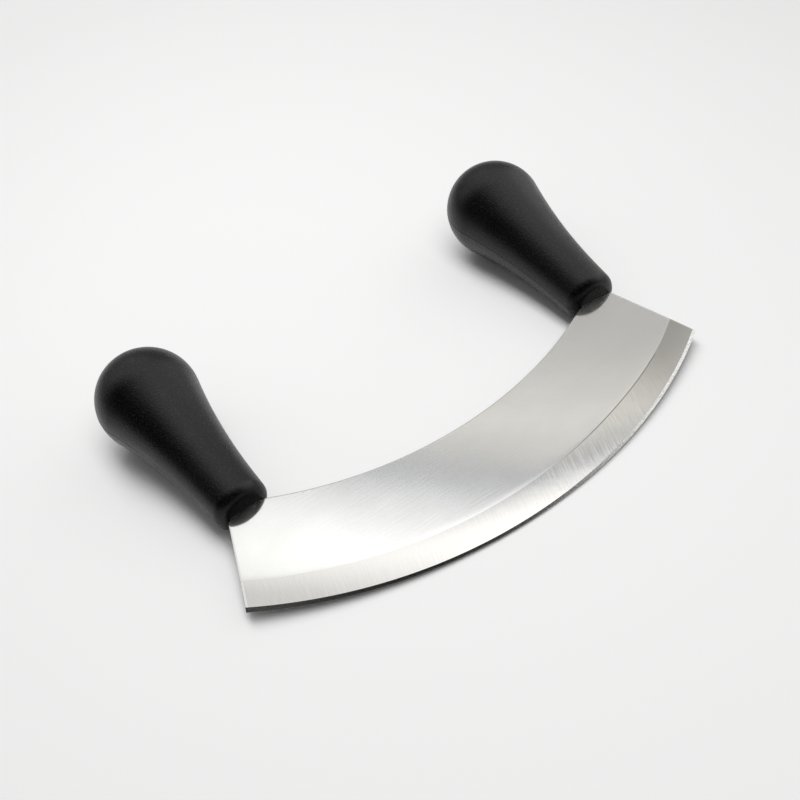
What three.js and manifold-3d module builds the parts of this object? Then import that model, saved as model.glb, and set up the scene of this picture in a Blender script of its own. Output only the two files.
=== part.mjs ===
// Mezzaluna: a rocking chopping knife with one curved blade and a pear-shaped handle at each end.
// Millimetres, +Z up. The knife lies as it rests on a table, on its two handles, with the blade
// just clear of it. X runs along the blade and +Y from the edge towards the handles. The pieces
// are drawn in the plane of the blade, with the middle of the edge at the origin, and the whole
// knife is then tipped onto the table.
import * as THREE from "three";
import { mergeVertices } from "three/addons/utils/BufferGeometryUtils.js";
import Module from "manifold-3d";

const wasm = await Module();
wasm.setup();

const radians = THREE.MathUtils.degToRad;

// Blade
const BLADE_LENGTH = 200; // corner to corner
const BLADE_DEPTH = 47; // edge to spine at the middle
const BLADE_THICKNESS = 2;
const EDGE_RADIUS = 185; // the arc that rocks on the board

// Grind of the edge, the same on both sides
const BEVEL_WIDTH = 11.7; // where the flat side ends, measured from the edge
const HONED_WIDTH = 1.2; // the steep strip next to the edge
const BEVEL_DROP = 0.3; // taken off each side by the wide bevel where the strip starts
const EDGE_LAND = 0.1; // blunt width of the edge itself

// Handles, along their own axis from the flat end that meets the blade
const HANDLE_INSET = 20.3; // from the blade's corner in to the axis at that flat end, along X
const HANDLE_SPLAY = radians(3); // outward lean of each handle
const COLLAR_RISE = 17.5; // from the middle of the spine up to the flat end
const COLLAR_DIAMETER = 21.4;
const COLLAR_ROUNDING = 4.4;
const NECK_TAPER = radians(3); // each side
const NECK_LENGTH = 10.2; // the straight taper, before the flare
const BALL_DIAMETER = 40.4;
const BALL_REACH = 68.3; // from the flat end to the middle of the ball

// Tangs, one inside each handle, with windows that the moulded plastic runs through
const TANG_LENGTH = 58;
const TANG_WIDTH = 13;
const TANG_TIP_WIDTH = 9;
const TANG_ROOT = 4; // how far the tang runs back into the blade
const WINDOW_DIAMETER = 5.6;
const WINDOW_PLACES = [17, 35]; // from the flat end of the handle

// Where the blade meets the flat end, measured in from the side of the collar
const SPINE_INSET = 2.9;
const END_INSET = 3.2;

const FIT_GAP = 0.3; // between the blade and the plastic moulded round it

// Fineness of the facets
const HANDLE_SIDES = 56;
const ROUNDING_STEPS = 7;
const FLARE_STEPS = 11;
const BALL_STEPS = 22;
const EDGE_SIDES = 240; // round the whole circle of the edge
const SPINE_STEPS = 40;
const WINDOW_STEPS = 10; // per quarter turn or tip
const MERGE_DISTANCE = 1e-4;

const STEEL = new THREE.MeshStandardMaterial({ color: 0xc4c3be, roughness: 0.25, metalness: 1 });
const BLACK_PLASTIC = new THREE.MeshStandardMaterial({ color: 0x17171a, roughness: 0.6, metalness: 0 });

// A closed three.js geometry as a solid that can be joined and cut.
function solid(geometry) {
  geometry.deleteAttribute("normal");
  geometry.deleteAttribute("uv");
  const merged = mergeVertices(geometry, MERGE_DISTANCE);
  const corners = merged.index.array;
  const triangles = [];
  for (let i = 0; i < corners.length; i += 3) {
    const [a, b, c] = corners.slice(i, i + 3);
    if (a !== b && b !== c && c !== a) triangles.push(a, b, c);
  }
  const vertProperties = Float32Array.from(merged.attributes.position.array);
  const triVerts = Uint32Array.from(triangles);
  return new wasm.Manifold(new wasm.Mesh({ numProp: 3, vertProperties, triVerts }));
}

function meshGeometry(body) {
  const { vertProperties, triVerts } = body.getMesh();
  const geometry = new THREE.BufferGeometry();
  geometry.setAttribute("position", new THREE.BufferAttribute(vertProperties, 3));
  geometry.setIndex(new THREE.BufferAttribute(triVerts, 1));
  geometry.computeVertexNormals();
  return geometry;
}

// A flat plate of a given thickness, half above and half below the middle plane.
function plate(shape, thickness, curveSegments) {
  const geometry = new THREE.ExtrudeGeometry(shape, { depth: thickness, curveSegments, bevelEnabled: false });
  return geometry.translate(0, 0, -thickness / 2);
}

function arcPoints(centre, radius, from, to, steps) {
  const points = [];
  for (let i = 0; i <= steps; i += 1) {
    const angle = from + ((to - from) * i) / steps;
    points.push(new THREE.Vector2(centre.x + radius * Math.cos(angle), centre.y + radius * Math.sin(angle)));
  }
  return points;
}

// Places that the blade and the handles share, on the right-hand side
const collarRadius = COLLAR_DIAMETER / 2;
const ballRadius = BALL_DIAMETER / 2;
const rimRadius = collarRadius - (COLLAR_ROUNDING * (1 - Math.sin(NECK_TAPER))) / Math.cos(NECK_TAPER);
const handleAxis = new THREE.Vector2(Math.sin(HANDLE_SPLAY), Math.cos(HANDLE_SPLAY));
const handleAcross = new THREE.Vector2(Math.cos(HANDLE_SPLAY), -Math.sin(HANDLE_SPLAY));
const handleBase = new THREE.Vector2(BLADE_LENGTH / 2 - HANDLE_INSET, BLADE_DEPTH + COLLAR_RISE);
const ballCentre = handleBase.clone().addScaledVector(handleAxis, BALL_REACH);

// A point on the blade's shoulder, just short of the flat end of the handle.
function shoulderPoint(across) {
  return handleBase.clone().addScaledVector(handleAxis, -FIT_GAP).addScaledVector(handleAcross, across);
}

// The outline of one tang in its handle's own axes, enlarged all round by a margin.
function tangOutline(margin) {
  const rootHalf = TANG_WIDTH / 2 + margin;
  const tipRadius = TANG_TIP_WIDTH / 2 + margin;
  const tipCentre = TANG_LENGTH - TANG_TIP_WIDTH / 2;
  const outline = new THREE.Shape();
  outline.moveTo(-rootHalf, -TANG_ROOT);
  outline.lineTo(rootHalf, -TANG_ROOT);
  outline.lineTo(rootHalf, 0);
  outline.absarc(0, tipCentre, tipRadius, 0, Math.PI, false);
  outline.lineTo(-rootHalf, 0);
  for (const place of WINDOW_PLACES) {
    const window = new THREE.Path();
    window.absarc(0, place, WINDOW_DIAMETER / 2 - margin, 0, 2 * Math.PI, true);
    outline.holes.push(window);
  }
  return outline;
}

// The band of the blade from corner to corner, drawn past its edge so that the grind can trim it.
function bandOutline() {
  const halfLength = BLADE_LENGTH / 2;
  const corner = new THREE.Vector2(halfLength, EDGE_RADIUS - Math.sqrt(EDGE_RADIUS ** 2 - halfLength ** 2));
  const outer = shoulderPoint(collarRadius - END_INSET);
  const inner = shoulderPoint(SPINE_INSET - collarRadius);
  const trimmed = corner.clone().lerp(outer, -BEVEL_WIDTH / corner.distanceTo(outer));
  const trimRadius = Math.hypot(trimmed.x, EDGE_RADIUS - trimmed.y);
  const trimAngle = Math.asin(trimmed.x / trimRadius);
  const spineRise = inner.y - BLADE_DEPTH;
  const spineRadius = (inner.x ** 2 + spineRise ** 2) / (2 * spineRise);
  const spineAngle = Math.asin(inner.x / spineRadius);
  const down = -Math.PI / 2;
  const outline = new THREE.Shape();
  outline.moveTo(trimmed.x, trimmed.y);
  outline.lineTo(outer.x, outer.y);
  outline.lineTo(inner.x, inner.y);
  outline.absarc(0, BLADE_DEPTH + spineRadius, spineRadius, down + spineAngle, down - spineAngle, true);
  outline.lineTo(-outer.x, outer.y);
  outline.lineTo(-trimmed.x, trimmed.y);
  outline.absarc(0, EDGE_RADIUS, trimRadius, down - trimAngle, down + trimAngle, false);
  return outline;
}

// The space that the grinding wheels leave: a disc about the centre of the edge, thinned by the
// wide bevel and then by the honed strip on both sides. The bevel's slope runs on as far again
// past the flat side, so that the disc's own faces stand clear of it.
function groundDisc() {
  const flatSide = BLADE_THICKNESS / 2;
  const bevelRun = BEVEL_WIDTH - HONED_WIDTH;
  const topside = [
    new THREE.Vector2(0, flatSide + BEVEL_DROP),
    new THREE.Vector2(EDGE_RADIUS - BEVEL_WIDTH - bevelRun, flatSide + BEVEL_DROP),
    new THREE.Vector2(EDGE_RADIUS - HONED_WIDTH, flatSide - BEVEL_DROP),
    new THREE.Vector2(EDGE_RADIUS, EDGE_LAND / 2),
  ];
  const underside = topside.map((point) => new THREE.Vector2(point.x, -point.y));
  const profile = [...underside, ...topside.reverse()];
  const disc = new THREE.LatheGeometry(profile, EDGE_SIDES);
  return disc.rotateX(Math.PI / 2).translate(0, EDGE_RADIUS, 0);
}

function makeBlade() {
  let body = solid(plate(bandOutline(), BLADE_THICKNESS, SPINE_STEPS)).intersect(solid(groundDisc()));
  for (const side of [-1, 1]) {
    const tang = plate(tangOutline(0), BLADE_THICKNESS, WINDOW_STEPS);
    tang.rotateZ(-side * HANDLE_SPLAY).translate(side * handleBase.x, handleBase.y, 0);
    body = body.add(solid(tang));
  }
  const blade = new THREE.Mesh(meshGeometry(body), STEEL);
  blade.name = "blade";
  return blade;
}

// Half section of a handle: flat end, rounded rim, straight taper, flare and ball, each running
// smoothly into the next.
function handleProfile() {
  const taperSin = Math.sin(NECK_TAPER);
  const taperCos = Math.cos(NECK_TAPER);
  const rimCentre = new THREE.Vector2(rimRadius, COLLAR_ROUNDING);
  const neckEnd = new THREE.Vector2(collarRadius + NECK_LENGTH * Math.tan(NECK_TAPER), NECK_LENGTH);
  const ball = new THREE.Vector2(0, BALL_REACH);

  // The flare is the arc that leaves the taper straight on and touches the ball from outside.
  const away = new THREE.Vector2(taperCos, -taperSin);
  const fromBall = neckEnd.clone().sub(ball);
  const flareRadius = (fromBall.lengthSq() - ballRadius ** 2) / (2 * (ballRadius - fromBall.dot(away)));
  const flareCentre = neckEnd.clone().addScaledVector(away, flareRadius);
  const touchAngle = flareCentre.clone().sub(ball).angle() - 2 * Math.PI;

  const points = [
    new THREE.Vector2(0, 0),
    ...arcPoints(rimCentre, COLLAR_ROUNDING, -Math.PI / 2, -NECK_TAPER, ROUNDING_STEPS),
    ...arcPoints(flareCentre, flareRadius, Math.PI - NECK_TAPER, touchAngle + Math.PI, FLARE_STEPS),
    ...arcPoints(ball, ballRadius, touchAngle, Math.PI / 2, BALL_STEPS).slice(1),
  ];
  points[points.length - 1].x = 0;
  return points;
}

// One moulded handle in its own axes, with the space for the tang left open at its flat end.
function handleGeometry() {
  const outside = solid(new THREE.LatheGeometry(handleProfile(), HANDLE_SIDES));
  const tangSpace = solid(plate(tangOutline(FIT_GAP), BLADE_THICKNESS + 2 * FIT_GAP, WINDOW_STEPS));
  return meshGeometry(outside.subtract(tangSpace));
}

function makeHandle(name, side) {
  const handle = new THREE.Mesh(handleGeometry(), BLACK_PLASTIC);
  handle.name = name;
  handle.position.set(side * handleBase.x, handleBase.y, 0);
  handle.rotation.z = -side * HANDLE_SPLAY;
  return handle;
}

// The knife lies on the rims and the balls of both handles, so the table is the plane that touches
// the rounded rim and the ball from below. The blade then stands a little clear of the table.
const rimToBall = BALL_REACH - COLLAR_ROUNDING;
const rimAngle = Math.atan2(rimRadius, rimToBall);
const handleDip = Math.asin((ballRadius - COLLAR_ROUNDING) / Math.hypot(rimRadius, rimToBall)) - rimAngle;
const tilt = Math.asin(Math.sin(handleDip) / Math.cos(HANDLE_SPLAY));
const footprintDepth = ballCentre.y * Math.cos(tilt) + ballRadius;

const knife = new THREE.Group();
knife.name = "mezzaluna";
knife.add(makeBlade(), makeHandle("left_handle", -1), makeHandle("right_handle", 1));
knife.rotation.x = tilt;
knife.position.set(0, -footprintDepth / 2, ballRadius - ballCentre.y * Math.sin(tilt));

export default knife;
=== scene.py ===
"""Looks for the mezzaluna: a polished, bevel-ground steel blade and two grained black handles.

Metres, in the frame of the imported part: X along the blade, +Y from the edge towards the handles and
+Z up from the table. The pieces are drawn in the plane of the blade, with the middle of the edge at
the origin, and tipped onto the table as the part is.
"""

import math

import bmesh
import bpy
import numpy as np
from mathutils import Matrix, Quaternion, Vector


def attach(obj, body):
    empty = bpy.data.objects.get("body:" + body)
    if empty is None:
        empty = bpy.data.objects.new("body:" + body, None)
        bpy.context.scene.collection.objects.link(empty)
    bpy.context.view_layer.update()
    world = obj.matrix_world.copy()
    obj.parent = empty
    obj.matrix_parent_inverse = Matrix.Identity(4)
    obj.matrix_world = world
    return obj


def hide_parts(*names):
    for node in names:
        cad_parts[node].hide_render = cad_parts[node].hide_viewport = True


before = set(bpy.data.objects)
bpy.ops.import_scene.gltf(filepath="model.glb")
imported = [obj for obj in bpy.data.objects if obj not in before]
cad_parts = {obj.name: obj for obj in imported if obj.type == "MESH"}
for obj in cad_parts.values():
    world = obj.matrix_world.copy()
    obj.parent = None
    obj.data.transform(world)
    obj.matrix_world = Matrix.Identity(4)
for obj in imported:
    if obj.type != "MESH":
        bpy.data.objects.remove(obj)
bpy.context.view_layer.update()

# Blade, in the sizes of the part
BLADE_LENGTH = 0.200
BLADE_DEPTH = 0.047
BLADE_THICKNESS = 0.002
EDGE_RADIUS = 0.185
BEVEL_WIDTH = 0.0117
HONED_WIDTH = 0.0012
EDGE_LAND = 0.0001
SPINE_INSET = 0.0029  # the spine meets the shoulder this far in from the handle's inner side
END_INSET = 0.0032  # and the end of the blade this far in from its outer side

# Hand grinding, which leaves the blade less even than its drawing
RIGHT_CORNER_CUT = 0.0017  # the right corner is ground back
BEVEL_NARROWING = 0.0013  # the bevel is narrower at the right end
NARROWING_FROM = 0.040
NARROWING_TO = 0.095
HONED_WAIST = 0.0004  # the honed strip is narrower in the middle
HONED_WIDENING = 0.0003  # and wider at the left end
WIDENING_FROM = 0.030
WIDENING_TO = 0.100
BEVEL_DROP = 0.00026  # the bevel is ground a little less steep than it is drawn
BEVEL_FULLNESS = 0.79  # share of the bevel's drop that comes from its roundness
SHOULDER_ROLL = 0.000024  # the flat side is polished round towards the bevel, and drops this much
SHOULDER_WIDTH = 0.004
SHOULDER_POWER = 4  # most of that drop lies close to the bevel
BORDER_LINE = 0.0004  # painted shade lies along the border of the bevel, in its crease
BORDER_LINE_END = 0.078  # as far as this place along the blade
END_BUFF = 0.0007  # the left end is buffed as bright as the flat side
EDGE_ROUNDING = 0.00028  # the spine and the ends are buffed
BUFFED_LAND = 0.00005  # thickness that is left where the edge runs into the buffed ends
GRIND_LEAN = math.radians(18)  # the bevel's grinding lines lean this far from +Y towards +X

# Handles, in the sizes of the part
HANDLE_INSET = 0.0203
HANDLE_SPLAY = math.radians(3)
COLLAR_RISE = 0.0175
COLLAR_DIAMETER = 0.0214
COLLAR_ROUNDING = 0.0044
NECK_TAPER = math.radians(3)
NECK_LENGTH = 0.0102
BALL_DIAMETER = 0.0404
BALL_REACH = 0.0683

# Mould line: a trimmed flat land in the plane of the blade, a little proud of the surface
MOULD_LAND_WIDTH = 0.0010
MOULD_LAND_FOOT = 0.0012
MOULD_LAND_REACH = 0.0015  # the mesh is fine this far across
MOULD_LAND_HEIGHT = 0.00005

# Tangs inside the handles
TANG_LENGTH = 0.058
TANG_WIDTH = 0.013
TANG_TIP_WIDTH = 0.009
WINDOW_DIAMETER = 0.0056
WINDOW_PLACES = (0.017, 0.035)
TANG_LAP = 0.0002  # the tang starts this far inside the shoulder
TANG_SHY = 0.00002  # and its sides lie this far under the blade's
FIT_GAP = 0.0003  # between the steel and the plastic

# Camera, solved from the outlines in the photograph
CAMERA_PLACE = Vector((-0.14704, -0.30161, 0.31078))
CAMERA_AIM = Vector((-0.003395, 0.006352, 0))
CAMERA_ROLL = math.radians(-13.305)
CAMERA_LENS = 53.706
CAMERA_SENSOR = 36

# Fineness of the meshes
BLADE_STATIONS = 320
ROUNDING_STEPS = 5
STRIP_ROWS = 4
BEVEL_ROWS = 12
FLAT_ROWS = 30
FLAT_CROWDING = 2  # power that crowds the rows of the flat side towards the bevel
HANDLE_COLUMNS = 180
MOULD_LINE_COLUMNS = 3  # columns that give way to the fine ones at each mould line
MOULD_LINE_SHARE = 0.45  # most of that room that the fine ones fill, on each side
RIM_STEPS = 14
TAPER_STEPS = 10
FLARE_STEPS = 48
BALL_STEPS = 80
TANG_TIP_STEPS = 16
WINDOW_SIDES = 32
SHARP_ANGLE = math.radians(35)

# Places that follow from the sizes
collar_radius = COLLAR_DIAMETER / 2
ball_radius = BALL_DIAMETER / 2
rim_radius = collar_radius - COLLAR_ROUNDING * (1 - math.sin(NECK_TAPER)) / math.cos(NECK_TAPER)
handle_base = np.array([BLADE_LENGTH / 2 - HANDLE_INSET, BLADE_DEPTH + COLLAR_RISE])
handle_axis = np.array([math.sin(HANDLE_SPLAY), math.cos(HANDLE_SPLAY)])
handle_across = np.array([math.cos(HANDLE_SPLAY), -math.sin(HANDLE_SPLAY)])
ball_centre = handle_base + BALL_REACH * handle_axis

# The knife lies on the balls and the rims of its handles
rim_to_ball = BALL_REACH - COLLAR_ROUNDING
handle_dip = math.asin((ball_radius - COLLAR_ROUNDING) / math.hypot(rim_radius, rim_to_ball))
handle_dip -= math.atan2(rim_radius, rim_to_ball)
tilt = math.asin(math.sin(handle_dip) / math.cos(HANDLE_SPLAY))
footprint_depth = ball_centre[1] * math.cos(tilt) + ball_radius
knife_place = Vector((0, -footprint_depth / 2, ball_radius - ball_centre[1] * math.sin(tilt)))
knife_to_table = Matrix.Translation(knife_place) @ Matrix.Rotation(tilt, 4, "X")


def handle_to_table(side):
    """From a handle's own axes, with Y along it from its flat end, to the table."""
    base = Matrix.Translation((side * handle_base[0], handle_base[1], 0))
    return knife_to_table @ base @ Matrix.Rotation(-side * HANDLE_SPLAY, 4, "Z")


def smooth_share(value, low, high):
    share = np.clip((value - low) / (high - low), 0, 1)
    return share * share * (3 - 2 * share)


def add_object(name, data):
    made = bpy.data.objects.new(name, data)
    bpy.context.scene.collection.objects.link(made)
    return made


def remove_object(made):
    mesh = made.data
    bpy.data.objects.remove(made)
    bpy.data.meshes.remove(mesh)


def mesh_from(work, name):
    """The mesh of a finished bmesh, with its faces turned outwards."""
    bmesh.ops.recalc_face_normals(work, faces=work.faces)
    mesh = bpy.data.meshes.new(name)
    work.to_mesh(mesh)
    work.free()
    return mesh


# Shape of the blade


def shoulder_point(side, across):
    point = handle_base - FIT_GAP * handle_axis + across * handle_across
    return np.array([side * point[0], point[1]])


def end_line(side):
    """The corner of the edge and the outer shoulder that the end of the blade runs between."""
    reach = BLADE_LENGTH / 2
    if side > 0:
        reach -= RIGHT_CORNER_CUT
    corner = np.array([side * reach, EDGE_RADIUS - math.sqrt(EDGE_RADIUS**2 - reach**2)])
    return corner, shoulder_point(side, collar_radius - END_INSET)


def end_angle(side, distance):
    """The angle, about the middle of the edge's circle, at which an arc that lies a distance in from
    the edge meets the end of the blade."""
    corner, outer = end_line(side)
    along = (outer - corner) / np.linalg.norm(outer - corner)
    spoke = corner - np.array([0, EDGE_RADIUS])
    back = spoke @ along
    gain = spoke @ spoke - (EDGE_RADIUS - distance) ** 2
    met = spoke + (-back - math.sqrt(back**2 - gain)) * along
    return math.atan2(met[0], -met[1])


def ground_row(distance, stations):
    """Points along the blade, at a distance from the edge that may change along it."""
    left = end_angle(-1, distance[0])
    right = end_angle(1, distance[-1])
    angle = left + (right - left) * stations
    radius = EDGE_RADIUS - distance
    return np.column_stack([radius * np.sin(angle), EDGE_RADIUS - radius * np.cos(angle)])


def top_line():
    """Length of one shoulder, radius of the spine and half its angle."""
    outer = shoulder_point(1, collar_radius - END_INSET)
    inner = shoulder_point(1, SPINE_INSET - collar_radius)
    rise = inner[1] - BLADE_DEPTH
    radius = (inner[0] ** 2 + rise**2) / (2 * rise)
    return np.linalg.norm(outer - inner), radius, math.asin(inner[0] / radius)


def top_length():
    shoulder, radius, half_angle = top_line()
    return 2 * shoulder + 2 * radius * half_angle


def top_row(stations):
    """Points along the upper border of the blade: a shoulder, the hollow spine, the other shoulder."""
    shoulder, radius, half_angle = top_line()
    spine = 2 * radius * half_angle
    travelled = stations * top_length()
    angle = np.clip((travelled - shoulder) / radius, 0, 2 * half_angle) - half_angle
    points = np.column_stack([radius * np.sin(angle), BLADE_DEPTH + radius - radius * np.cos(angle)])
    on_left = np.maximum(shoulder - travelled, 0)[:, None]
    on_right = np.maximum(travelled - shoulder - spine, 0)[:, None]
    outward = np.array([-1, 1]) * handle_across
    return points + on_left * outward + on_right * handle_across


def rounding_offsets():
    turns = np.linspace(math.pi / 2, 0, ROUNDING_STEPS + 1)
    return EDGE_ROUNDING * (1 - np.sin(turns))


def rounding_drop(offset):
    """How far a buffed border has dropped, at an offset in from the border."""
    inside = np.clip(EDGE_ROUNDING - offset, 0, EDGE_ROUNDING)
    return EDGE_ROUNDING - np.sqrt(EDGE_ROUNDING**2 - inside**2)


def blade_stations():
    """Shares of the way along the blade, close together at its two ends."""
    shoulder = top_line()[0]
    length = top_length()
    close = rounding_offsets() / length
    even = np.linspace(close[-1], 1 - close[-1], BLADE_STATIONS)
    corners = np.array([shoulder, length - shoulder]) / length
    return np.unique(np.concatenate([close[:-1], even, corners, 1 - close[:-1]]))


def bevel_drop(below):
    """How far the bevel has dropped, at a distance below its border."""
    share = below / (BEVEL_WIDTH - HONED_WIDTH)
    return BEVEL_DROP * ((1 - BEVEL_FULLNESS) * share + BEVEL_FULLNESS * share**2)


def ground_widths(stations):
    """Widths of the honed strip, and of the strip and the bevel together, along the blade."""
    along = (stations - 0.5) * BLADE_LENGTH
    middle = 1 - (along / (BLADE_LENGTH / 2)) ** 2
    widening = HONED_WIDENING * smooth_share(-along, WIDENING_FROM, WIDENING_TO)
    narrowing = BEVEL_NARROWING * smooth_share(along, NARROWING_FROM, NARROWING_TO)
    return HONED_WIDTH - HONED_WAIST * middle + widening, BEVEL_WIDTH - narrowing


def blade_rows(stations):
    """Rows from the edge up to the spine: points, half thicknesses and the finish of the face above."""
    honed, bevel = ground_widths(stations)
    flat = BLADE_THICKNESS / 2
    bevel_top = flat - SHOULDER_ROLL
    at_strip = bevel_top - bevel_drop(bevel - honed)
    rows = []
    for share in np.linspace(0, 1, STRIP_ROWS + 1)[:-1]:
        half = EDGE_LAND / 2 + share * (at_strip - EDGE_LAND / 2)
        rows.append((ground_row(share * honed, stations), half, "honed"))
    for share in np.linspace(0, 1, BEVEL_ROWS + 1):
        distance = honed + share * (bevel - BORDER_LINE - honed)
        finish = "bevel" if share < 1 else "border"
        rows.append((ground_row(distance, stations), bevel_top - bevel_drop(bevel - distance), finish))
    border = ground_row(bevel, stations)
    rise = top_row(stations) - border
    height = np.linalg.norm(rise, axis=1)
    for share in np.linspace(0, 1, FLAT_ROWS + 1) ** FLAT_CROWDING:
        climbed = share * (1 - 2 * EDGE_ROUNDING / height)
        unrolled = np.clip(climbed * height / SHOULDER_WIDTH, 0, 1)
        half = flat - SHOULDER_ROLL * (1 - unrolled) ** SHOULDER_POWER
        rows.append((border + climbed[:, None] * rise, half, "side"))
    for offset in rounding_offsets()[::-1]:
        climbed = 1 - offset / height
        half = np.full(len(stations), flat - rounding_drop(offset))
        rows.append((border + climbed[:, None] * rise, half, "side"))
    return rows


def ring_places(stations, rows):
    """Points of each cross section, from the edge over the upper side and back under the lower one."""
    ring = 2 * len(rows)
    end_drop = rounding_drop(np.minimum(stations, 1 - stations) * top_length())
    places = np.zeros((len(stations), ring, 3))
    for j, (points, half, _) in enumerate(rows):
        height = np.maximum(half - end_drop, BUFFED_LAND / 2)
        for index, sign in ((j, 1), (ring - 1 - j, -1)):
            places[:, index, :2] = points
            places[:, index, 2] = sign * height
    return places


FINISHES = ("side", "border", "bevel", "honed", "cut")
GRIND_MAP = "grind"  # UV map in metres, across the bevel's grinding lines and along them


def worked_finish(drawn, from_left, along):
    """The finish of a face, where buffing the left end and the end of the painted crease shade have
    changed it.
    """
    if drawn == "bevel" and from_left < END_BUFF:
        return "side"
    if drawn == "border" and along > BORDER_LINE_END:
        return "bevel"
    return drawn


def blade_band():
    """The blade without its tangs, as a bmesh in its own plane."""
    stations = blade_stations()
    rows = blade_rows(stations)
    places = ring_places(stations, rows)
    from_left = stations * top_length()
    ring = 2 * len(rows)
    drawn = [finish for _, _, finish in rows[:-1]]
    around = drawn + ["cut"] + drawn[::-1] + ["honed"]
    creases = {0, STRIP_ROWS, STRIP_ROWS + BEVEL_ROWS + 1}
    creases |= {ring - 1 - j for j in creases}

    work = bmesh.new()
    grind = work.loops.layers.uv.new(GRIND_MAP)
    verts = [[work.verts.new(place) for place in station] for station in places]
    for i in range(len(stations) - 1):
        for j in range(ring):
            k = (j + 1) % ring
            face = work.faces.new((verts[i][j], verts[i][k], verts[i + 1][k], verts[i + 1][j]))
            finish = worked_finish(around[j], from_left[i], places[i, j, 0])
            face.material_index = FINISHES.index(finish)
        for j in creases:
            work.edges.get((verts[i][j], verts[i + 1][j])).smooth = False
    for station in (verts[0], verts[-1]):
        for j in range(len(rows) - 1):
            under = ring - 1 - j
            face = work.faces.new((station[j], station[j + 1], station[under - 1], station[under]))
            face.material_index = FINISHES.index("cut")
    for face in work.faces:
        face.smooth = True
        for loop in face.loops:
            x, y = loop.vert.co[:2]
            across = x * math.cos(GRIND_LEAN) - y * math.sin(GRIND_LEAN)
            along = x * math.sin(GRIND_LEAN) + y * math.cos(GRIND_LEAN)
            loop[grind].uv = (across, along)
    return work


# Shape of the tangs and the handles


def prism(name, outline, half_height):
    """A closed plate from an outline in the plane of the blade."""
    work = bmesh.new()
    lower = work.faces.new([work.verts.new((x, y, -half_height)) for x, y in outline])
    grown = bmesh.ops.extrude_face_region(work, geom=[lower])
    top = [item for item in grown["geom"] if isinstance(item, bmesh.types.BMVert)]
    bmesh.ops.translate(work, verts=top, vec=(0, 0, 2 * half_height))
    return add_object(name, mesh_from(work, name))


def cut_away(body, cutter):
    """Takes the cutter's space out of the body for good, and removes the cutter."""
    modifier = body.modifiers.new("cut", "BOOLEAN")
    modifier.operation = "DIFFERENCE"
    modifier.solver = "EXACT"
    modifier.object = cutter
    graph = bpy.context.evaluated_depsgraph_get()
    result = bpy.data.meshes.new_from_object(body.evaluated_get(graph), depsgraph=graph)
    body.modifiers.clear()
    old = body.data
    body.data = result
    bpy.data.meshes.remove(old)
    remove_object(cutter)


def arc(centre, radius, start, end, steps):
    turns = np.linspace(start, end, steps + 1)
    return [(centre[0] + radius * math.cos(t), centre[1] + radius * math.sin(t)) for t in turns]


def tang(name, margin, foot):
    """One tang in its handle's own axes, enlarged by a margin, with its windows made smaller by it."""
    half = TANG_WIDTH / 2 + margin
    tip_radius = TANG_TIP_WIDTH / 2 + margin
    tip = arc((0, TANG_LENGTH - TANG_TIP_WIDTH / 2), tip_radius, 0, math.pi, TANG_TIP_STEPS)
    outline = [(-half, foot), (half, foot), (half, 0), *tip, (-half, 0)]
    body = prism(name, outline, BLADE_THICKNESS / 2 + margin)
    for place in WINDOW_PLACES:
        ring = arc((0, place), WINDOW_DIAMETER / 2 - margin, 0, 2 * math.pi, WINDOW_SIDES)[:-1]
        cut_away(body, prism("window", ring, BLADE_THICKNESS))
    return body


def handle_profile():
    """Half section of a handle, from the rim of the flat end to just under the top of the ball."""
    neck_end = np.array([collar_radius + NECK_LENGTH * math.tan(NECK_TAPER), NECK_LENGTH])
    ball = np.array([0, BALL_REACH])
    away = np.array([math.cos(NECK_TAPER), -math.sin(NECK_TAPER)])
    from_ball = neck_end - ball
    flare_radius = (from_ball @ from_ball - ball_radius**2) / (2 * (ball_radius - from_ball @ away))
    flare_centre = neck_end + flare_radius * away
    touch = math.atan2(*(flare_centre - ball)[::-1])
    rim = arc((rim_radius, COLLAR_ROUNDING), COLLAR_ROUNDING, -math.pi / 2, -NECK_TAPER, RIM_STEPS)
    taper = [tuple(p) for p in np.linspace(rim[-1], neck_end, TAPER_STEPS + 1)[1:]]
    flare = arc(flare_centre, flare_radius, math.pi - NECK_TAPER, touch + math.pi, FLARE_STEPS)[1:]
    top = arc(ball, ball_radius, touch, math.pi / 2, BALL_STEPS)[1:-1]
    return rim + taper + flare + top


def handle_columns():
    """Angles round a handle, each with an offset sideways from it, with fine ones along the mould
    lines, and the angle that the columns leave clear for those."""
    offsets = []
    for half in (MOULD_LAND_WIDTH / 2, MOULD_LAND_FOOT / 2, MOULD_LAND_REACH / 2):
        offsets += [-half, half]
    columns = []
    clear = 2 * math.pi / HANDLE_COLUMNS * MOULD_LINE_COLUMNS
    for k in range(HANDLE_COLUMNS):
        angle = 2 * math.pi * k / HANDLE_COLUMNS
        if clear / 2 < angle % math.pi < math.pi - clear / 2:
            columns.append((angle, 0))
    for angle in (0, math.pi):
        columns += [(angle, offset) for offset in sorted(offsets)]
    return sorted(columns), clear


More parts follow.
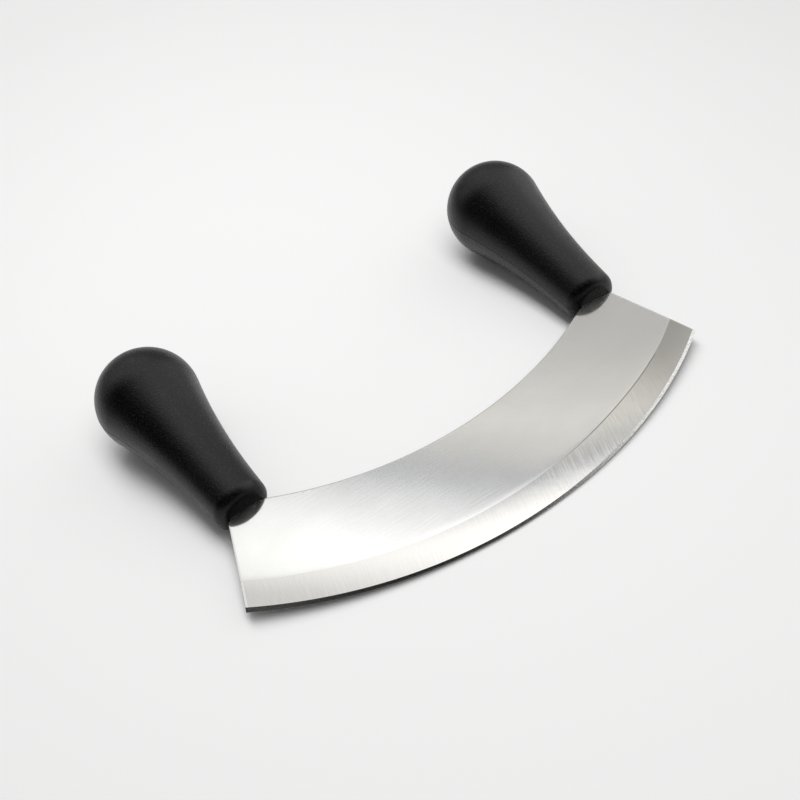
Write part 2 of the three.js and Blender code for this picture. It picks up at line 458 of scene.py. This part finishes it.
def handle_piece(name, side):
    columns, clear = handle_columns()
    count = len(columns)
    work = bmesh.new()
    rings = []
    for radius, rise in handle_profile():
        reach = min(MOULD_LAND_REACH / 2 / radius, clear * MOULD_LINE_SHARE)
        ring = []
        for angle, offset in columns:
            turn = angle + offset / (MOULD_LAND_REACH / 2) * reach
            proud = MOULD_LAND_HEIGHT if 0 < abs(offset) <= MOULD_LAND_WIDTH / 2 else 0
            out = radius - MOULD_LAND_HEIGHT + proud
            ring.append(work.verts.new((out * math.cos(turn), rise, out * math.sin(turn))))
        rings.append(ring)
    for lower, upper in zip(rings, rings[1:]):
        for k in range(count):
            after = (k + 1) % count
            work.faces.new((lower[k], lower[after], upper[after], upper[k]))
    work.faces.new(rings[0])
    pole = work.verts.new((0, BALL_REACH + ball_radius - MOULD_LAND_HEIGHT, 0))
    for k in range(count):
        work.faces.new((rings[-1][k], rings[-1][(k + 1) % count], pole))
    piece = add_object(name, mesh_from(work, name))
    cut_away(piece, tang("tang_space", FIT_GAP, -FIT_GAP))
    piece.data.polygons.foreach_set("use_smooth", [True] * len(piece.data.polygons))
    piece.data.set_sharp_from_angle(angle=SHARP_ANGLE)
    piece.data.transform(handle_to_table(side))
    return piece


def blade_piece():
    work = blade_band()
    for side in (-1, 1):
        inside = tang("tang", -TANG_SHY, -FIT_GAP - TANG_LAP)
        inside.data.transform(knife_to_table.inverted() @ handle_to_table(side))
        before = len(work.faces)
        work.from_mesh(inside.data)
        work.faces.ensure_lookup_table()
        for face in work.faces[before:]:
            face.material_index = FINISHES.index("cut")
        remove_object(inside)
    piece = add_object("steel_blade", mesh_from(work, "blade"))
    piece.data.transform(knife_to_table)
    return piece


# Materials


class Nodes:
    """Adds nodes to one material or world and links them."""

    def __init__(self, owner):
        owner.use_nodes = True
        self.tree = owner.node_tree
        self.tree.nodes.clear()

    def feed(self, socket, value):
        """Links a value that another node gives, or sets a plain one."""
        if isinstance(value, bpy.types.NodeSocket):
            self.tree.links.new(value, socket)
        else:
            socket.default_value = value

    def add(self, kind, inputs=None, **settings):
        node = self.tree.nodes.new(kind)
        for name, value in settings.items():
            setattr(node, name, value)
        for name, value in (inputs or {}).items():
            self.feed(node.inputs[name], value)
        return node

    def noise(self, place, cells, detail, roughness=0.5):
        """A noise with a number of cells per metre along each axis."""
        scaled = self.add("ShaderNodeMapping", {"Vector": place, "Scale": cells}).outputs["Vector"]
        inputs = {"Vector": scaled, "Scale": 1, "Detail": detail, "Roughness": roughness}
        return self.add("ShaderNodeTexNoise", inputs).outputs["Fac"]

    def spread(self, value, source, target=(0, 1)):
        """Stretches one range of values onto another."""
        inputs = {0: value, 1: source[0], 2: source[1], 3: target[0], 4: target[1]}
        return self.add("ShaderNodeMapRange", inputs).outputs[0]

    def combine(self, operation, first, second):
        return self.add("ShaderNodeMath", {0: first, 1: second}, operation=operation).outputs[0]

    def measure(self, operation, first, second=(0, 0, 0)):
        """A number from one or two vectors, such as a length or a distance."""
        inputs = {0: first, 1: second}
        return self.add("ShaderNodeVectorMath", inputs, operation=operation).outputs["Value"]

    def part_along(self, vector, axis):
        return self.add("ShaderNodeSeparateXYZ", {0: vector}).outputs[axis]

    def blend_colours(self, share, first, second):
        inputs = {"Factor": share, "A": first, "B": second}
        node = self.add("ShaderNodeMix", data_type="RGBA")
        for socket in node.inputs:
            if socket.enabled and socket.name in inputs:
                self.feed(socket, inputs[socket.name])
        return next(socket for socket in node.outputs if socket.enabled)

    def bump(self, height, distance, normal=None):
        inputs = {"Height": height, "Distance": distance, "Strength": 1}
        if normal is not None:
            inputs["Normal"] = normal
        return self.add("ShaderNodeBump", inputs).outputs["Normal"]

    def surface(self, inputs):
        shader = self.add("ShaderNodeBsdfPrincipled", inputs)
        self.add("ShaderNodeOutputMaterial", {"Surface": shader.outputs[0]})


# Colours
STEEL = (0.51, 0.508, 0.498, 1)
STEEL_DULL = (0.47, 0.468, 0.458, 1)
BEVEL = (0.53, 0.524, 0.506, 1)
BEVEL_DULL = (0.41, 0.405, 0.393, 1)
BEVEL_LEFT = (0.41, 0.405, 0.391, 1)  # towards the left end
BEVEL_LEFT_DULL = (0.34, 0.335, 0.324, 1)
BEVEL_RIGHT_SHADE = (0.335, 0.33, 0.318, 1)  # painted shade towards the right end
# painted shade: a dark line along the crease at the border of the bevel
BEVEL_CREASE_SHADE = (0.21, 0.207, 0.205, 1)
HONED = (0.68, 0.675, 0.66, 1)
HONED_DULL = (0.26, 0.256, 0.248, 1)
HONED_LEFT_SHADE = (0.26, 0.256, 0.248, 1)  # painted shade towards the left end
HONED_LEFT_SHADE_DULL = (0.13, 0.128, 0.124, 1)
PLASTIC = (0.0004, 0.0004, 0.00045, 1)
PLASTIC_PALE = (0.018, 0.018, 0.0184, 1)

# Marks are noises with some cells per metre along each axis, heights in metres and ranges of roughness
NOISE_BULK = (0.3, 0.7)  # most of a noise's values lie in this range

# Marks on the polished side
HAZE_CELLS = (20000, 20000, 20000)
HAZE_RANGE = (0.57, 0.64)  # only the peaks of the haze are dull
HAZE_ROUGHNESS = (0.075, 0.60)
LINE_CELLS = (90, 1300, 1)
LINE_HEIGHT = 0.000005
LINE_ROUGHNESS = (-0.006, 0.006)  # added to the haze's
CLOUD_CELLS = (55, 90, 1)
CLOUD_ROUGHNESS = (-0.01, 0.015)  # added to the haze's
WAVE_CELLS = (32, 26, 1)
WAVE_HEIGHT = 0.00004

# Marks on the ground bevel, with axes across the grinding lines and along them
STREAK_CELLS = (3000, 90, 1)
STREAK_HEIGHT = 0.0000065
STREAK_ROUGHNESS = (0.08, 0.13)
BLOTCH_CELLS = (95, 130, 1)
BLOTCH_HEIGHT = 0.00002
GRIND_ANISOTROPY = 0.6

# Marks on the honed strip, with the same axes
GRIT_CELLS = (3200, 1500, 1)
GRIT_HEIGHT = 0.000006
GRIT_RANGE = (0.35, 0.65)
GRIT_ROUGHNESS = (0.26, 0.38)

# Marks on the cut rim
SHEAR_CELLS = (1500, 1500, 150)
SHEAR_HEIGHT = 0.000004
SHEAR_ROUGHNESS = (0.28, 0.42)

# Grain of the plastic
GRAIN_CELLS = (1700, 1700, 1700)
GRAIN_HEIGHT = 0.00011
GRAIN_PEAKS = (0.54, 0.74)
PEAK_ROUGHNESS = (0.08, -0.06)  # added to the patches'
PATCH_CELLS = (90, 90, 90)
PATCH_ROUGHNESS = (0.24, 0.30)
PLASTIC_SPECULAR = 0.27

# Places across the grinding lines between which the bevel and the honed strip change
LEFT_PLACES = (-0.085, 0.045)  # the tone of the left end turns into that of the middle; on the honed strip that left end is painted shade
MARK_PLACES = (-0.015, 0.012)  # the marks of grinding grow stronger
MARK_SHARES = (0.5, 1)
RIGHT_SHADE_PLACES = (0.046, 0.068)  # the bevel turns to painted shade
CREASE_SHADE_PLACES = (0.012, 0.030)  # its border turns to painted shade


def side_steel():
    """The polished flat side: a fine haze, faint polishing lines along the blade and a waviness."""
    material = bpy.data.materials.new("steel_polished_side")
    nodes = Nodes(material)
    place = nodes.add("ShaderNodeTexCoord").outputs["Object"]
    haze = nodes.noise(place, HAZE_CELLS, detail=1)
    lines = nodes.noise(place, LINE_CELLS, detail=3)
    cloud = nodes.noise(place, CLOUD_CELLS, detail=2)
    waves = nodes.noise(place, WAVE_CELLS, detail=1)
    roughness = nodes.spread(haze, HAZE_RANGE, HAZE_ROUGHNESS)
    roughness = nodes.combine("ADD", roughness, nodes.spread(lines, NOISE_BULK, LINE_ROUGHNESS))
    roughness = nodes.combine("ADD", roughness, nodes.spread(cloud, NOISE_BULK, CLOUD_ROUGHNESS))
    normal = nodes.bump(lines, LINE_HEIGHT)
    normal = nodes.bump(waves, WAVE_HEIGHT, normal)
    colour = nodes.blend_colours(cloud, STEEL, STEEL_DULL)
    nodes.surface({"Base Color": colour, "Metallic": 1, "Roughness": roughness, "Normal": normal})
    return material


def bevel_steel(name, painted_shade, shade_places):
    """The wide bevel, ground across the edge, with blotches where the belt has lingered. Its colour
    turns into painted shade between two places across the grinding lines."""
    material = bpy.data.materials.new(name)
    nodes = Nodes(material)
    place = nodes.add("ShaderNodeUVMap", uv_map=GRIND_MAP).outputs["UV"]
    streaks = nodes.noise(place, STREAK_CELLS, detail=4, roughness=0.6)
    blotches = nodes.noise(place, BLOTCH_CELLS, detail=3)
    across = nodes.part_along(place, "X")
    strength = nodes.spread(across, MARK_PLACES, MARK_SHARES)
    roughness = nodes.spread(streaks, NOISE_BULK, STREAK_ROUGHNESS)
    normal = nodes.bump(nodes.combine("MULTIPLY", streaks, strength), STREAK_HEIGHT)
    normal = nodes.bump(nodes.combine("MULTIPLY", blotches, strength), BLOTCH_HEIGHT, normal)
    tangent = nodes.add("ShaderNodeTangent", direction_type="UV_MAP", uv_map=GRIND_MAP).outputs[0]
    marks = nodes.combine("MULTIPLY", nodes.spread(streaks, NOISE_BULK, (-1, 1)), strength)
    clean = nodes.spread(marks, (-1, 1))
    colour = nodes.blend_colours(clean, BEVEL_DULL, BEVEL)
    left = nodes.blend_colours(clean, BEVEL_LEFT_DULL, BEVEL_LEFT)
    colour = nodes.blend_colours(nodes.spread(across, LEFT_PLACES), left, colour)
    # the colour darkens across these places: painted shade
    colour = nodes.blend_colours(nodes.spread(across, shade_places), colour, painted_shade)
    nodes.surface(
        {
            "Base Color": colour,
            "Metallic": 1,
            "Roughness": roughness,
            "Anisotropic": GRIND_ANISOTROPY,
            "Tangent": tangent,
            "Normal": normal,
        }
    )
    return material


def honed_steel():
    """The coarse honed strip next to the edge, with painted shade towards its left end."""
    material = bpy.data.materials.new("steel_honed_strip")
    nodes = Nodes(material)
    place = nodes.add("ShaderNodeUVMap", uv_map=GRIND_MAP).outputs["UV"]
    grit = nodes.noise(place, GRIT_CELLS, detail=3, roughness=0.6)
    roughness = nodes.spread(grit, NOISE_BULK, GRIT_ROUGHNESS)
    clean = nodes.spread(grit, GRIT_RANGE)
    colour = nodes.blend_colours(clean, HONED_DULL, HONED)
    left = nodes.blend_colours(clean, HONED_LEFT_SHADE_DULL, HONED_LEFT_SHADE)
    # the strip darkens towards its left end: painted shade
    colour = nodes.blend_colours(nodes.spread(nodes.part_along(place, "X"), LEFT_PLACES), left, colour)
    normal = nodes.bump(grit, GRIT_HEIGHT)
    nodes.surface({"Base Color": colour, "Metallic": 1, "Roughness": roughness, "Normal": normal})
    return material


def cut_steel():
    """The sheared and buffed rim of the sheet."""
    material = bpy.data.materials.new("steel_cut_rim")
    nodes = Nodes(material)
    place = nodes.add("ShaderNodeTexCoord").outputs["Object"]
    marks = nodes.noise(place, SHEAR_CELLS, detail=3)
    roughness = nodes.spread(marks, NOISE_BULK, SHEAR_ROUGHNESS)
    colour = nodes.blend_colours(marks, STEEL, STEEL_DULL)
    normal = nodes.bump(marks, SHEAR_HEIGHT)
    nodes.surface({"Base Color": colour, "Metallic": 1, "Roughness": roughness, "Normal": normal})
    return material


def grained_plastic():
    """Black moulded plastic with a fine eroded grain, paler and smoother on its peaks."""
    material = bpy.data.materials.new("plastic_black_grained")
    nodes = Nodes(material)
    place = nodes.add("ShaderNodeTexCoord").outputs["Object"]
    grain = nodes.noise(place, GRAIN_CELLS, detail=2, roughness=0.6)
    patches = nodes.noise(place, PATCH_CELLS, detail=3)
    peaks = nodes.spread(grain, GRAIN_PEAKS)
    roughness = nodes.spread(patches, NOISE_BULK, PATCH_ROUGHNESS)
    roughness = nodes.combine("ADD", roughness, nodes.spread(peaks, (0, 1), PEAK_ROUGHNESS))
    colour = nodes.blend_colours(peaks, PLASTIC, PLASTIC_PALE)
    normal = nodes.bump(grain, GRAIN_HEIGHT)
    nodes.surface(
        {
            "Base Color": colour,
            "Roughness": roughness,
            "Specular IOR Level": PLASTIC_SPECULAR,
            "Normal": normal,
        }
    )
    return material


# The knife

steels = {
    "side": side_steel(),
    "border": bevel_steel("steel_bevel_border", BEVEL_CREASE_SHADE, CREASE_SHADE_PLACES),
    "bevel": bevel_steel("steel_ground_bevel", BEVEL_RIGHT_SHADE, RIGHT_SHADE_PLACES),
    "honed": honed_steel(),
    "cut": cut_steel(),
}
plastic = grained_plastic()

blade = blade_piece()
for finish in FINISHES:
    blade.data.materials.append(steels[finish])
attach(blade, "root")
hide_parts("blade")

for hand, side in (("left", -1), ("right", 1)):
    handle = handle_piece(f"{hand}_grip", side)
    handle.data.materials.append(plastic)
    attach(handle, "root")
    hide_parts(f"{hand}_handle")

# Floor: pale paper with a painted pool of light, whose painted shade darkens it softly away from the
# knife

FLOOR_SIZE = 6.0
FLOOR_COLOUR = (0.97, 0.97, 0.97, 1)
# painted shade of the paper far from the knife
FLOOR_SHADED = (0.90, 0.90, 0.90, 1)
FLOOR_LIGHT_MIDDLE = (-0.028, 0.125, 0)  # middle of the painted pool of light, where the paper is palest
FLOOR_SHADE_FADE = (0.06, 0.34)  # distances from there between which the painted shade darkens it


def floor_paper():
    material = bpy.data.materials.new("floor_paper")
    nodes = Nodes(material)
    place = nodes.add("ShaderNodeTexCoord").outputs["Object"]
    away = nodes.measure("DISTANCE", place, FLOOR_LIGHT_MIDDLE)
    # the paper darkens away from its middle: painted shade
    colour = nodes.blend_colours(nodes.spread(away, FLOOR_SHADE_FADE), FLOOR_COLOUR, FLOOR_SHADED)
    paper = nodes.add("ShaderNodeBsdfDiffuse", {"Color": colour})
    nodes.add("ShaderNodeOutputMaterial", {"Surface": paper.outputs[0]})
    return material


def paper_floor():
    half = FLOOR_SIZE / 2
    mesh = bpy.data.meshes.new("floor")
    corners = [(x * half, y * half, 0) for x, y in ((-1, -1), (1, -1), (1, 1), (-1, 1))]
    mesh.from_pydata(corners, [], [(0, 1, 2, 3)])
    mesh.materials.append(floor_paper())
    return add_object("floor", mesh)


floor = paper_floor()

# Light: a white tent that is open at the front and on the left, with a bright strip in its roof, and a
# long soft lamp overhead that isn't mirrored. Azimuths run from +Y towards +X

KEY_ASIDE = 0.04  # the long lamp hangs a little to the right
KEY_BEHIND = 0.15
KEY_HEIGHT = 0.9
KEY_WIDTH = 0.40
KEY_LENGTH = 1.8
KEY_TURN = math.radians(-90)  # its length runs along Y
KEY_RADIANCE = 3.5
TENT_SHARE = 0.22  # share of the tent's brightness that lights the floor and other matt surfaces
TENT_FILL = 0.09  # light from all round that lights them as well
STRIP_AZIMUTH = math.radians(43.8)
STRIP_END_AZIMUTH = math.radians(63)
STRIP_END_REACH = (0.26, 0.36)
STRIP_END_SHARE = 0.6  # the roof is dimmer past the left end of the strip
OPENING_AZIMUTH = math.radians(-130)
OPENING_START = math.radians(100)  # the shade starts this far to either side
OPENING_FULL = math.radians(73)  # and is full from here
OPENING_LOWNESS = 0.55  # level part of a direction at which the opening is darkest
OPENING_DARKNESS = 0.98
WALL_AZIMUTH = math.radians(130)
WALL_REACH = (0.2, 0.5)
WALL_TONE = (1.9, 1.89, 1.87, 1)  # the right side of the tent is evenly lit
HORIZON_HEIGHT = 0.3
HORIZON_SHARE = 0.45  # the tent is dimmer down by the floor

# Brightness of the roof and the back by angle from straight up, towards the strip, in degrees
ROOF_TONES = (
    (-90, (2.1, 2.1, 2.1)),
    (-15, (2.1, 2.1, 2.1)),
    (5, (2.65, 2.65, 2.63)),
    (25, (2.6, 2.6, 2.58)),
    (26.5, (2.1, 2.1, 2.12)),
    (27.5, (1.77, 1.78, 1.81)),
    (28.2, (1.48, 1.50, 1.54)),
    (29.3, (0.58, 0.61, 0.67)),
    (30.5, (1.12, 1.11, 1.08)),
    (32, (1.48, 1.45, 1.37)),
    (34, (1.27, 1.24, 1.18)),
    (37, (0.89, 0.87, 0.84)),
    (40, (0.92, 0.91, 0.89)),
    (44, (1.35, 1.34, 1.32)),
    (53, (1.35, 1.34, 1.32)),
    (58, (0.62, 0.62, 0.61)),
    (68, (0.40, 0.40, 0.40)),
    (90, (0.25, 0.25, 0.25)),
)


def compass_axis(azimuth):
    return (math.sin(azimuth), math.cos(azimuth), 0)


def reach_towards(nodes, towards, azimuth):
    """How far a direction reaches towards an azimuth."""
    return nodes.measure("DOT_PRODUCT", towards, compass_axis(azimuth))


def roof_tones(nodes, towards):
    """Colour of the tent by the angle from straight up, towards the strip."""
    level = reach_towards(nodes, towards, STRIP_AZIMUTH)
    upright = nodes.part_along(towards, "Z")
    angle = nodes.combine("ARCTAN2", level, upright)
    ramp = nodes.add("ShaderNodeValToRGB", {"Fac": nodes.spread(angle, (-math.pi / 2, math.pi / 2))})
    stops = ramp.color_ramp.elements
    while len(stops) < len(ROOF_TONES):
        stops.new(0.5)
    for stop, (degrees, tone) in zip(stops, ROOF_TONES):
        stop.position = (degrees + 90) / 180
        stop.color = (*tone, 1)
    return ramp.outputs["Color"]


def opening_shade(nodes, towards):
    """Share of the light that is left in the opening: a wide sector, darker towards the floor."""
    flattened = nodes.add("ShaderNodeVectorMath", {0: towards, 1: (1, 1, 0)}, operation="MULTIPLY")
    level = flattened.outputs["Vector"]
    lowness = nodes.measure("LENGTH", level)
    facing = nodes.combine("DIVIDE", reach_towards(nodes, level, OPENING_AZIMUTH), lowness)
    sector = nodes.spread(facing, (math.cos(OPENING_START), math.cos(OPENING_FULL)))
    low = nodes.spread(lowness, (0, OPENING_LOWNESS), (0, OPENING_DARKNESS))
    return nodes.spread(nodes.combine("MULTIPLY", sector, low), (0, 1), (1, 0))


def tent_colour(nodes, towards):
    """The tones of the roof and the back, which turn into the tone of the right side."""
    turned = nodes.spread(reach_towards(nodes, towards, WALL_AZIMUTH), WALL_REACH)
    return nodes.blend_colours(turned, roof_tones(nodes, towards), WALL_TONE)


def tent_fade(nodes, towards):
    """Share of the light that is left past the end of the strip and down by the floor."""
    reach = reach_towards(nodes, towards, STRIP_END_AZIMUTH)
    past = nodes.spread(reach, STRIP_END_REACH, (STRIP_END_SHARE, 1))
    upright = nodes.part_along(towards, "Z")
    down = nodes.spread(upright, (0, HORIZON_HEIGHT), (HORIZON_SHARE, 1))
    return nodes.combine("MULTIPLY", past, down)


def tent_world():
    world = bpy.data.worlds.new("tent")
    nodes = Nodes(world)
    towards = nodes.add("ShaderNodeTexCoord").outputs["Generated"]
    seen = nodes.add("ShaderNodeLightPath").outputs
    shown = nodes.combine("ADD", seen["Is Camera Ray"], seen["Is Glossy Ray"])
    shaped = nodes.combine("MULTIPLY", opening_shade(nodes, towards), tent_fade(nodes, towards))
    shaped = nodes.combine("MULTIPLY", shaped, nodes.spread(shown, (0, 1), (TENT_SHARE, 1)))
    strength = nodes.combine("ADD", shaped, nodes.spread(shown, (0, 1), (TENT_FILL, 0)))
    colour = tent_colour(nodes, towards)
    shade = nodes.add("ShaderNodeBackground", {"Color": colour, "Strength": strength})
    nodes.add("ShaderNodeOutputWorld", {"Surface": shade.outputs[0]})
    return world


def add_key_lamp():
    """A long rectangle lamp that faces down, and that nothing mirrors."""
    light = bpy.data.lights.new("key_lamp", "AREA")
    light.shape = "RECTANGLE"
    light.size = KEY_LENGTH
    light.size_y = KEY_WIDTH
    light.energy = KEY_RADIANCE * math.pi * KEY_LENGTH * KEY_WIDTH
    lamp = add_object("key_lamp", light)
    lamp.location = (KEY_ASIDE, KEY_BEHIND, KEY_HEIGHT)
    lamp.rotation_euler = (0, 0, KEY_TURN)
    lamp.visible_glossy = False


bpy.context.scene.world = tent_world()
add_key_lamp()

# Camera


def photo_camera():
    camera = bpy.data.cameras.new("camera")
    camera.lens = CAMERA_LENS
    camera.sensor_width = CAMERA_SENSOR
    made = add_object("camera", camera)
    made.location = CAMERA_PLACE
    made.rotation_mode = "QUATERNION"
    level_view = (CAMERA_AIM - CAMERA_PLACE).to_track_quat("-Z", "Y")
    made.rotation_quaternion = level_view @ Quaternion((0, 0, 1), CAMERA_ROLL)
    return made


bpy.context.scene.camera = photo_camera()
bpy.context.scene.view_settings.view_transform = "Standard"
